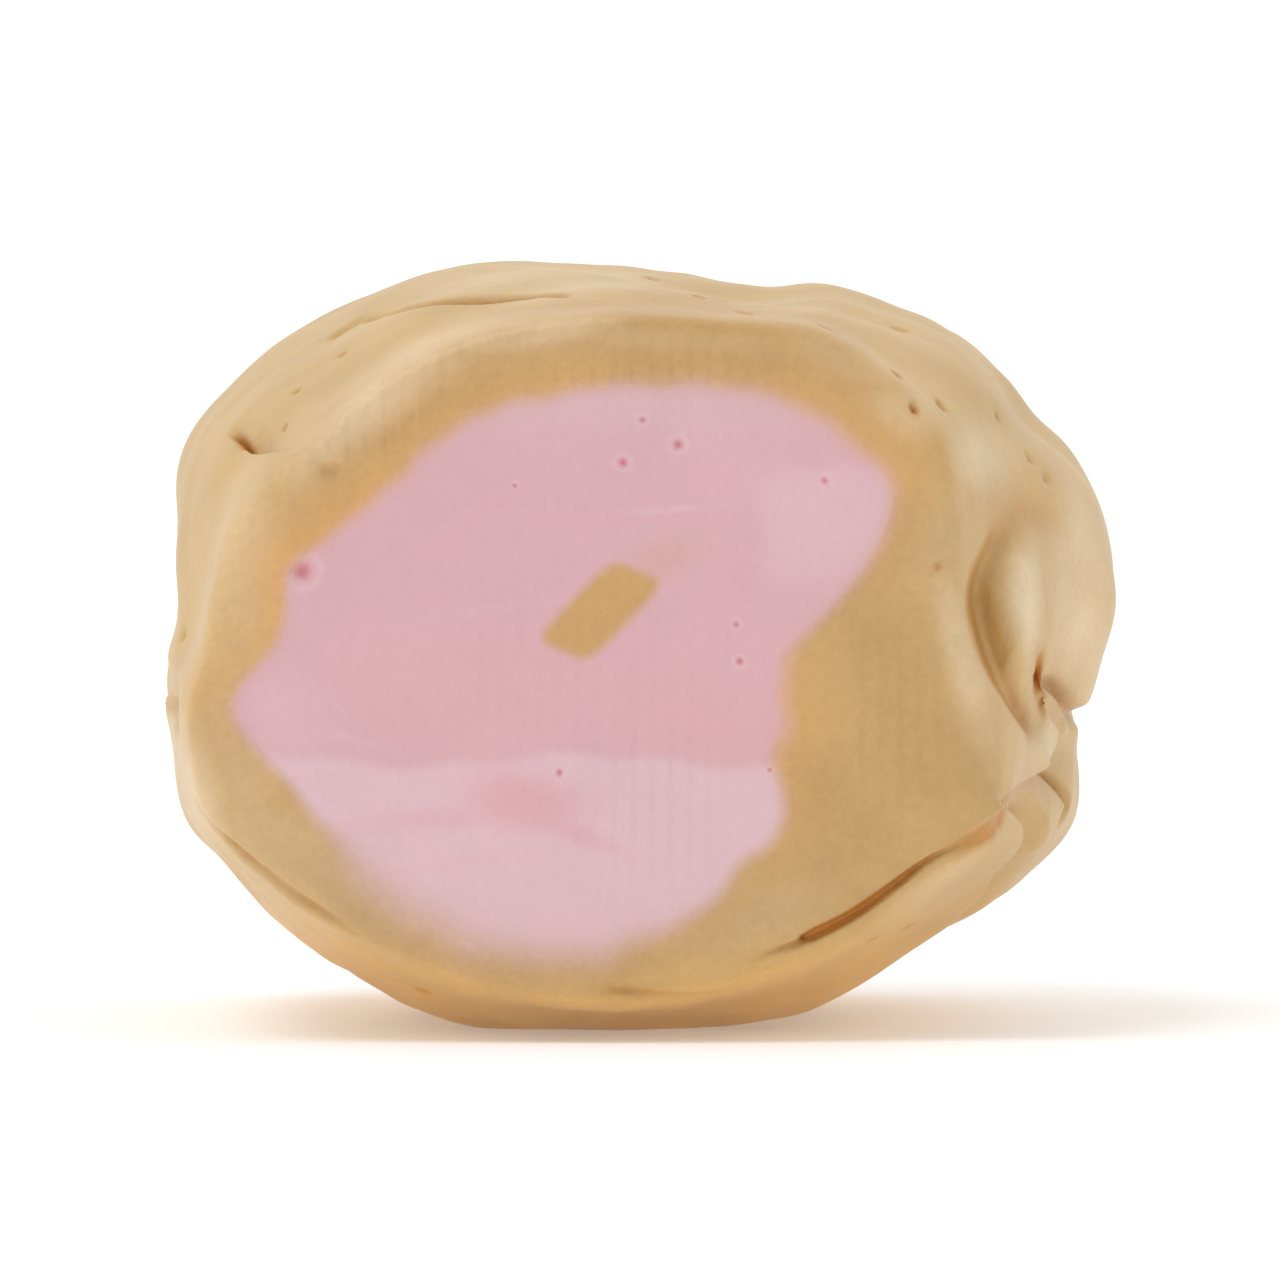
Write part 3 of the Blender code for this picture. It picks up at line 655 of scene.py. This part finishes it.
def fold(grid, finely):
    """Move the points of the base surface to form the folds, and say how much painted shade each
    takes.
    """
    shape = grid.shape[:2]
    normals = normals_of(grid).reshape(-1, 3)
    points = grid.reshape(-1, 3)
    uneven = (swell(points) + ripples(points)) * away_from_filling(grid).ravel()
    moved = normals * uneven[:, None]
    painted_shading = np.zeros(len(points))
    for line_points, depth, width, steepness, painted_shade, frontal in GROOVES:
        line, amounts = smooth_line(finely, line_points)
        near = close_to(points, line, GROOVE_REACH * width)
        distance, amount, _, _ = beside_line(points[near], normals[near], line, amounts)
        narrow = width * (0.3 + 0.7 * amount) if steepness > 1 else width
        pressed = depth * amount * np.exp(-(distance / narrow) ** (2 * steepness))
        moved[near] -= pressed[:, None] * outward_way(normals[near], frontal)
        shade_amount = painted_shade * amount * np.exp(-(distance / (1.1 * narrow)) ** (2 * steepness))
        painted_shading[near] = np.maximum(painted_shading[near], shade_amount)
    for group in WRAPS:
        lowered = np.zeros(len(points))
        lowering = np.zeros_like(points)
        for line_points, drop, reach, painted_shade, shade_reach, edge, overhang, frontal in group:
            line, amounts = smooth_line(finely, line_points)
            near = close_to(points, line, reach)
            distance, amount, side, right = beside_line(points[near], normals[near], line, amounts)
            over = np.tanh(side / edge)
            fade = np.clip(1 - (distance / reach) ** 2, 0.0, 1.0) ** 2
            fall = drop * amount * (0.5 + 0.5 * over) * fade
            deeper = fall > lowered[near]
            way = outward_way(normals[near], frontal)
            lowering[near] = np.where(deeper[:, None], fall[:, None] * way, lowering[near])
            lowered[near] = np.maximum(lowered[near], fall)
            shift = -overhang * np.sqrt(amount) * over * np.exp(-(distance / (3 * edge)) ** 2)
            moved[near] += right * shift[:, None]
            shade_amount = painted_shade * amount * (0.5 + 0.5 * over) * np.exp(-(distance / shade_reach) ** 2)
            painted_shading[near] = np.maximum(painted_shading[near], shade_amount)
        moved -= lowering
    for point, depth, radius, painted_shade in (*SPOTS, *scattered_pits(finely)):
        distance = np.linalg.norm(points - lay_on(finely, [point])[0], axis=1)
        hollow = np.exp(-(distance / radius) ** 2)
        moved -= normals * (depth * hollow)[:, None]
        painted_shading = np.maximum(painted_shading, painted_shade * hollow)
    folded = (points + moved).reshape(*shape, 3)
    folded[0] = grid[0]
    folded[-1] = grid[-1]
    folded[..., 2] = np.maximum(folded[..., 2], 0.0)
    return folded, painted_shading.reshape(shape)


def mesh_of_rows(name, grid, values):
    """A closed mesh from rows of points that join round and end to start, and its values."""
    rows, columns = grid.shape[:2]
    corner = np.arange(rows * columns).reshape(rows, columns)
    onward = np.roll(corner, -1, axis=0)
    corners = (corner, onward, np.roll(onward, -1, axis=1), np.roll(corner, -1, axis=1))
    faces = np.stack(corners, axis=2)
    mesh = bpy.data.meshes.new(name)
    mesh.from_pydata((grid.reshape(-1, 3) * MM).tolist(), [], faces.reshape(-1, 4).tolist())
    for label, value in values.items():
        flat = np.broadcast_to(value, (rows, columns)).astype(np.float32).ravel()
        mesh.attributes.new(label, "FLOAT", "POINT").data.foreach_set("value", flat)
    mesh.shade_smooth()
    mesh.set_sharp_from_angle(angle=math.radians(SHARP_ANGLE))
    piece = bpy.data.objects.new(name, mesh)
    bpy.context.scene.collection.objects.link(piece)
    return piece


def distance_to_rings(points, rings):
    """Distance from every point to the nearest point of some rings."""
    nearest = np.full(len(points), np.inf)
    for ring in rings:
        for first in range(0, len(points), BLOCK):
            block = slice(first, first + BLOCK)
            gap = ((points[block, None, :] - ring[None, :, :]) ** 2).sum(axis=2).min(axis=1)
            nearest[block] = np.minimum(nearest[block], gap)
    return np.sqrt(nearest)


def blot(x, z, centre, size, turn):
    """A soft oval patch: 1 in its middle, 0 outside."""
    cos, sin = math.cos(math.radians(turn)), math.sin(math.radians(turn))
    along = ((x - centre[0]) * cos + (z - centre[1]) * sin) / size[0]
    across = ((z - centre[1]) * cos - (x - centre[0]) * sin) / size[1]
    return np.exp(-(along ** 2 + across ** 2) ** 1.5)


def blots(x, z, listed, join=np.maximum):
    """Soft oval patches of a list: the stronger one counts where they meet, or they are added."""
    total = np.zeros_like(x)
    for centre, size, turn, amount in listed:
        total = join(total, amount * blot(x, z, centre, size, turn))
    return total


def pale_below(x, z):
    """How pale the filling is: most below an uneven level."""
    level = PALE_LEVEL + 0.16 * np.sin(0.75 * x + 2.6) + 0.07 * np.sin(2.3 * x)
    return PALE_AMOUNT * smooth_step(level + 0.22, level - 0.22, z)


def pale_patch(x, z):
    """The paler patch in the filling's upper right."""
    beside = smooth_step(2.7, 3.7, x + 0.1 * (z - 12.5) ** 2) * smooth_step(10.6, 12.6, z)
    return 0.45 * beside * smooth_step(14.4, 13.4, z - 0.12 * x)


def dusky_above(z):
    """How dusky the filling is towards its top."""
    return DUSKY_AMOUNT * smooth_step(*DUSKY_CHANGE, z)


def meeting(distance, angles):
    """How far caramel and pink take on each other's colour: half where they touch."""
    return 0.5 * np.exp(-(distance / closed_curve(MEETING_WIDTHS)(angles)) ** 1.4)


def core_meeting(distance):
    """The same for the core and the filling."""
    return 0.5 * np.exp(-(distance / CORE_MEETING_WIDTH) ** 2)


def warmth(angles):
    """How orange the caramel is beside the filling."""
    return np.clip(closed_curve(WARM_BAND)(angles), 0.0, 1.0)


def caramel_layer(angles):
    """The wrapped layer with its folds."""
    fine_steps = [max(steps, SNAP_STEPS) for steps in PATH_STEPS]
    finely = base_surface(spread_angles(SNAP_ANGLES), fine_steps).reshape(-1, 3)
    grid, painted_shading = fold(base_surface(angles, PATH_STEPS), finely)
    places = [span + np.arange(count) / count for span, count in enumerate(PATH_STEPS)]
    places = np.concatenate(places + [[len(PATH_STEPS)]])
    from_cut = np.minimum(places, places[-1] - places)
    on_cuts = from_cut < CUT_SPANS
    from_filling = np.full(grid.shape[:2], np.inf)
    close = distance_to_rings(grid[on_cuts].reshape(-1, 3), (grid[0], grid[-1]))
    from_filling[on_cuts] = close.reshape(-1, len(angles))
    reach = FACE_REACH + TOP_REACH * np.exp(-((np.degrees(angles) - TOP_ANGLE) / TOP_SPREAD) ** 2)
    x, y, z = np.moveaxis(grid, 2, 0)
    values = {
        "outside": smooth_step(reach, reach + FACE_FADE, from_cut[:, None]),
        # painted warm shade and bounce light, more lower down
        "low": smooth_step(*UNDERSIDE_SHADE_AND_BOUNCE_CHANGE, z),
        # painted highlights and pale patches
        "pale_highlight": blots(x, z, PALE_HIGHLIGHT_PATCHES) * smooth_step(*PALE_HIGHLIGHT_CHANGE, y),
        "warmth": warmth(angles) * np.exp(-(from_filling / WARM_WIDTH) ** 1.6),
        "meeting": meeting(from_filling, angles),
        "pale": pale_below(x, z),
        "dusky": dusky_above(z),
        # painted shade in folds, creases and pits
        "fold_shade": painted_shading,
        "pressed": blots(x, z, CARAMEL_PRESSED, np.add),
    }
    return mesh_of_rows("caramel_layer", grid, values)


def face_rows(inner, outer, rings, depth):
    """Rows of points across a cut face, from an inner to an outer outline."""
    shares = np.linspace(0.0, 1.0, rings)
    return np.array([at_depth(inner + (outer - inner) * share, depth) for share in shares])


def pink_filling(angles):
    """The filling: both cut faces with their little pits, and the core's hole in the middle."""
    core = core_outline(angles)
    edge = outline(FILLING_OUTLINE, angles)
    grid = np.concatenate((
        face_rows(core, edge, FACE_RINGS, -FACE_DEPTH),
        face_rows(edge, core, BACK_RINGS, FACE_DEPTH),
    ))
    points = grid.reshape(-1, 3)
    shape = grid.shape[:2]
    from_edge = distance_to_rings(points, on_both_cuts(edge)).reshape(shape)
    from_core = distance_to_rings(points, on_both_cuts(core)).reshape(shape)
    x, y, z = np.moveaxis(grid.copy(), 2, 0)
    front = y < 0
    pit = np.zeros_like(x)
    for px, pz, radius in PINK_PITS:
        away = np.hypot(x - px, z - pz) / radius
        hollow = np.exp(-away ** 2) * front
        pit += hollow - 0.35 * np.exp(-((away - 1.9) / 0.5) ** 2) * front
        grid[..., 1] += 0.6 * radius * hollow
    inside = smooth_step(0.0, 0.4, from_edge) * smooth_step(0.0, 0.4, from_core)
    grid[..., 1] += PINK_SWELL * np.sin(0.9 * x + 0.4) * np.sin(0.8 * z) * inside * np.sign(y)
    around = np.arctan2(z - AXIS_Z, x - AXIS_X)
    halo = blots(x, z, CORE_HALO) * smooth_step(0.0, 0.2, from_core)
    values = {
        "pale": np.maximum(pale_below(x, z), pale_patch(x, z)),
        "rose": blots(x, z, ROSE_BLOTS),
        "streak": blots(x, z, STREAKS, np.add),
        "dusky": dusky_above(z),
        "pit": pit,
        "meeting": meeting(from_edge, around),
        "warmth": warmth(around),
        "core_meeting": core_meeting(from_core) + halo,
        "pressed": blots(x, z, PINK_PRESSED, np.add),
    }
    return mesh_of_rows("pink_filling", grid, values)


def caramel_core(angles):
    """The core: a bar whose two ends show in the cut faces."""
    edge = core_outline(angles)
    middle = np.array(CORE_CENTRE) + (edge - np.array(CORE_CENTRE)) * 0.01
    front = face_rows(middle, edge, CORE_RINGS, -FACE_DEPTH)
    back = face_rows(edge, middle, CORE_RINGS, FACE_DEPTH)
    grid = np.concatenate((front, back))
    from_edge = distance_to_rings(grid.reshape(-1, 3), on_both_cuts(edge))
    values = {"core_meeting": core_meeting(from_edge.reshape(grid.shape[:2]))}
    return mesh_of_rows("caramel_core", grid, values)


def add_node(tree, kind, **inputs):
    """Add a node and set inputs by their names, linking those that are given as sockets."""
    made = tree.nodes.new(kind)
    for name, value in inputs.items():
        socket = made.inputs[name.replace("_", " ")]
        if isinstance(value, bpy.types.NodeSocket):
            tree.links.new(value, socket)
        else:
            socket.default_value = value
    return made


def blend(tree, amount, first, second):
    """Mix two colours, given as sockets or as linear red, green and blue."""
    made = tree.nodes.new("ShaderNodeMix")
    made.data_type = "RGBA"
    for place, value in ((0, amount), (6, first), (7, second)):
        if isinstance(value, bpy.types.NodeSocket):
            tree.links.new(value, made.inputs[place])
        else:
            made.inputs[place].default_value = (*value, 1.0) if place else value
    return made.outputs[2]


def sums(tree, operation, first, second):
    """A number worked out from two others."""
    made = tree.nodes.new("ShaderNodeMath")
    made.operation = operation
    for place, value in ((0, first), (1, second)):
        if isinstance(value, bpy.types.NodeSocket):
            tree.links.new(value, made.inputs[place])
        else:
            made.inputs[place].default_value = value
    return made.outputs[0]


def ramp(tree, value, low, high):
    """Rise smoothly from 0 to 1 as a value goes from low to high."""
    made = add_node(tree, "ShaderNodeMapRange", Value=value, From_Min=low, From_Max=high)
    made.interpolation_type = "SMOOTHSTEP"
    return made.outputs["Result"]


def drifting(tree, shift, share):
    """A factor near 1 that drifts over the surface by a share of a shift."""
    return sums(tree, "ADD", sums(tree, "MULTIPLY", shift, share), 1.0)


def below_zero(tree, value):
    """How far a value lies below zero."""
    return sums(tree, "MAXIMUM", sums(tree, "MULTIPLY", value, -1.0), 0.0)


def read_value(tree, label):
    """A value kept at the mesh's points."""
    made = tree.nodes.new("ShaderNodeAttribute")
    made.attribute_name = label
    return made.outputs["Fac"]


def pink_tone(tree):
    """The filling's pink: duskier towards its top, paler below."""
    colour = blend(tree, read_value(tree, "dusky"), PINK, DUSKY_PINK)
    return blend(tree, read_value(tree, "pale"), colour, PALE_PINK)


def make_candy_skin():
    """The candy's surface: cloudy tone, fine grain, and fine ridges where it was pressed."""
    tree = bpy.data.node_groups.new("candy_skin", "ShaderNodeTree")
    tree.interface.new_socket("Colour", in_out="INPUT", socket_type="NodeSocketColor")
    for label in ("Cloudiness", "Ridges", "Shine"):
        tree.interface.new_socket(label, in_out="INPUT", socket_type="NodeSocketFloat")
    tree.interface.new_socket("Colour", in_out="OUTPUT", socket_type="NodeSocketColor")
    tree.interface.new_socket("Roughness", in_out="OUTPUT", socket_type="NodeSocketFloat")
    tree.interface.new_socket("Normal", in_out="OUTPUT", socket_type="NodeSocketVector")
    given = tree.nodes.new("NodeGroupInput").outputs
    made = tree.nodes.new("NodeGroupOutput").inputs
    place = tree.nodes.new("ShaderNodeTexCoord").outputs["Object"]
    clouds = add_node(
        tree, "ShaderNodeTexNoise", Vector=place, Scale=CLOUD_SCALE, Detail=4.0, Roughness=0.55,
    )
    grain = add_node(
        tree, "ShaderNodeTexNoise", Vector=place, Scale=GRAIN_SCALE, Detail=3.0, Roughness=0.65,
    )
    cloud = sums(tree, "SUBTRACT", clouds.outputs["Fac"], 0.5)
    speck = sums(tree, "SUBTRACT", grain.outputs["Fac"], 0.5)
    tone = sums(tree, "ADD", cloud, sums(tree, "MULTIPLY", speck, 0.7))
    level = drifting(tree, tone, given["Cloudiness"])
    scaled = tree.nodes.new("ShaderNodeVectorMath")
    scaled.operation = "SCALE"
    tree.links.new(given["Colour"], scaled.inputs["Vector"])
    tree.links.new(level, scaled.inputs["Scale"])
    tree.links.new(scaled.outputs["Vector"], made["Colour"])
    rough = sums(tree, "ADD", sums(tree, "MULTIPLY", speck, 0.35), given["Shine"])
    tree.links.new(rough, made["Roughness"])
    waves = add_node(
        tree, "ShaderNodeTexWave", Vector=place, Scale=RIDGE_SCALE,
        Distortion=1.6, Detail=2.0, Detail_Scale=0.35,
    )
    waves.bands_direction = "X"
    pressed = sums(tree, "MULTIPLY", given["Ridges"], RIDGE_HEIGHT)
    lines = sums(tree, "MULTIPLY", waves.outputs["Fac"], pressed)
    fine, slow = sums(tree, "MULTIPLY", speck, 0.9), sums(tree, "MULTIPLY", cloud, 2.0)
    height = sums(tree, "ADD", sums(tree, "ADD", fine, slow), lines)
    bump = add_node(tree, "ShaderNodeBump", Strength=1.0, Distance=RELIEF, Height=height)
    tree.links.new(bump.outputs["Normal"], made["Normal"])
    return tree


def finish_material(material, colour, skin, cloudiness, ridges, shine):
    """Give a material the candy's surface over its own colour."""
    tree = material.node_tree
    surface = tree.nodes["Principled BSDF"]
    group = tree.nodes.new("ShaderNodeGroup")
    group.node_tree = skin
    tree.links.new(colour, group.inputs["Colour"])
    group.inputs["Cloudiness"].default_value = cloudiness
    group.inputs["Shine"].default_value = shine
    if isinstance(ridges, bpy.types.NodeSocket):
        tree.links.new(ridges, group.inputs["Ridges"])
    else:
        group.inputs["Ridges"].default_value = ridges
    tree.links.new(group.outputs["Colour"], surface.inputs["Base Color"])
    tree.links.new(group.outputs["Roughness"], surface.inputs["Roughness"])
    tree.links.new(group.outputs["Normal"], surface.inputs["Normal"])
    surface.inputs["IOR"].default_value = CANDY_IOR


def new_material(name):
    """A material with nodes."""
    material = bpy.data.materials.new(name)
    material.use_nodes = True
    return material


def make_caramel(skin):
    """Caramel: paler outside than on the cuts, with painted highlights and paler dry patches,
    orange beside the filling, and painted shade in its folds.
    """
    material = new_material("caramel")
    tree = material.node_tree
    place = tree.nodes.new("ShaderNodeTexCoord").outputs["Object"]
    drift = add_node(tree, "ShaderNodeTexNoise", Vector=place, Scale=DRIFT_SCALE, Detail=3.0)
    shift = sums(tree, "SUBTRACT", drift.outputs["Fac"], 0.5)
    outside = sums(tree, "ADD", read_value(tree, "outside"), sums(tree, "MULTIPLY", shift, 0.9))
    # painted warm shade and bounce light lower down
    lower = sums(tree, "ADD", read_value(tree, "low"), sums(tree, "MULTIPLY", shift, 0.8))
    side_colour = blend(tree, ramp(tree, lower, 0.0, 1.0), SIDE_CARAMEL, UNDERSIDE_SHADE_AND_BOUNCE_CARAMEL)
    colour = blend(tree, ramp(tree, outside, 0.0, 1.0), FACE_CARAMEL, side_colour)
    # painted highlights and pale patches
    pale_highlight_amount = sums(tree, "MULTIPLY", read_value(tree, "pale_highlight"), drifting(tree, shift, 2.0))
    colour = blend(tree, pale_highlight_amount, colour, PALE_HIGHLIGHT_CARAMEL)
    warm = sums(tree, "MULTIPLY", read_value(tree, "warmth"), drifting(tree, shift, 1.2))
    colour = blend(tree, warm, colour, ORANGE_CARAMEL)
    colour = blend(tree, read_value(tree, "meeting"), colour, pink_tone(tree))
    # painted shade in folds, creases and pits: brown, then deep orange where deepest
    painted_shade = read_value(tree, "fold_shade")
    colour = blend(tree, sums(tree, "MINIMUM", painted_shade, 1.0), colour, FOLD_SHADE_CARAMEL)
    colour = blend(tree, ramp(tree, painted_shade, 1.0, 2.0), colour, DEEP_SHADE_CARAMEL)
    pressed = read_value(tree, "pressed")
    finish_material(material, colour, skin, cloudiness=0.32, ridges=pressed, shine=0.42)
    return material


def make_pink(skin):
    """Pink candy with soft blots and streaks from the pulling, and little pits."""
    material = new_material("pink_candy")
    tree = material.node_tree
    colour = blend(tree, read_value(tree, "rose"), pink_tone(tree), ROSE)
    streak = read_value(tree, "streak")
    colour = blend(tree, sums(tree, "MAXIMUM", streak, 0.0), colour, PALE_PINK)
    colour = blend(tree, below_zero(tree, streak), colour, ROSE)
    pit = read_value(tree, "pit")
    colour = blend(tree, below_zero(tree, pit), colour, PIT_RING)
    colour = blend(tree, ramp(tree, pit, 0.0, 1.0), colour, PIT_PINK)
    beside = blend(tree, read_value(tree, "warmth"), FACE_CARAMEL, ORANGE_CARAMEL)
    colour = blend(tree, read_value(tree, "meeting"), colour, beside)
    colour = blend(tree, read_value(tree, "core_meeting"), colour, CORE_CARAMEL)
    pressed = sums(tree, "MULTIPLY", read_value(tree, "pressed"), 0.55)
    finish_material(material, colour, skin, cloudiness=0.12, ridges=pressed, shine=0.42)
    return material


def make_core(skin):
    """Caramel of the core, meeting the pink softly."""
    material = new_material("core_caramel")
    tree = material.node_tree
    colour = blend(tree, read_value(tree, "core_meeting"), CORE_CARAMEL, PINK)
    finish_material(material, colour, skin, cloudiness=0.2, ridges=0.3, shine=0.48)
    return material


def wear(piece, node, material):
    """Give a piece its material, and let it stand for a node of the frame."""
    piece.data.materials.append(material)
    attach(piece, "root")
    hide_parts(node)


def build_floor():
    """A wide pale floor."""
    bpy.ops.mesh.primitive_plane_add(size=FLOOR_SIZE, location=(0.0, 0.0, 0.0))
    floor = bpy.context.object
    floor.name = "pale_floor"
    material = new_material("pale_floor")
    surface = material.node_tree.nodes["Principled BSDF"]
    surface.inputs["Base Color"].default_value = (0.9, 0.9, 0.9, 1.0)
    surface.inputs["Roughness"].default_value = 0.7
    surface.inputs["Emission Color"].default_value = (1.0, 1.0, 1.0, 1.0)
    surface.inputs["Emission Strength"].default_value = FLOOR_GLOW
    floor.data.materials.append(material)


def build_light():
    """Pale surroundings, dimmer towards the viewer, and a wide soft light from the upper left."""
    world = bpy.data.worlds.new("pale_room")
    world.use_nodes = True
    tree = world.node_tree
    ground = tree.nodes["Background"]
    heading = tree.nodes.new("ShaderNodeTexCoord").outputs["Generated"]
    parts = add_node(tree, "ShaderNodeSeparateXYZ", Vector=heading)
    strength = add_node(
        tree, "ShaderNodeMapRange", Value=parts.outputs["Y"], From_Min=-1.0, From_Max=0.3,
        To_Min=ROOM_FRONT, To_Max=ROOM_SIDES,
    )
    tree.links.new(strength.outputs["Result"], ground.inputs["Strength"])
    ground.inputs["Color"].default_value = (1.0, 1.0, 1.0, 1.0)
    bpy.context.scene.world = world
    light = bpy.data.lights.new("soft_box", "SUN")
    light.energy = SOFT_BOX
    light.angle = math.radians(SOFT_BOX_WIDTH)
    lamp = bpy.data.objects.new("soft_box", light)
    lamp.rotation_euler = Vector(SOFT_BOX_WAY).to_track_quat("-Z", "Y").to_euler()
    bpy.context.scene.collection.objects.link(lamp)


def build_camera():
    """A long lens at the level of the piece, a little above it."""
    middle = (SOLID_BOX[0] + SOLID_BOX[1]) / 2
    data = bpy.data.cameras.new("camera")
    data.sensor_width = 36.0
    data.lens = data.sensor_width * CAMERA_DISTANCE / VIEW_WIDTH
    camera = bpy.data.objects.new("camera", data)
    tilt = math.radians(CAMERA_TILT)
    camera.location = middle + Vector((0.0, -math.cos(tilt), math.sin(tilt))) * CAMERA_DISTANCE
    camera.rotation_euler = (math.pi / 2 - tilt, 0.0, 0.0)
    bpy.context.scene.collection.objects.link(camera)
    bpy.context.scene.camera = camera


def build_taffy():
    """Make the three layers."""
    angles = spread_angles(ANGLE_COUNT)
    skin = make_candy_skin()
    wear(caramel_layer(angles), "outer_layer", make_caramel(skin))
    wear(pink_filling(angles), "filling", make_pink(skin))
    wear(caramel_core(angles), "core", make_core(skin))


bpy.context.scene.view_settings.view_transform = "Standard"
build_camera()
build_light()
build_floor()
build_taffy()
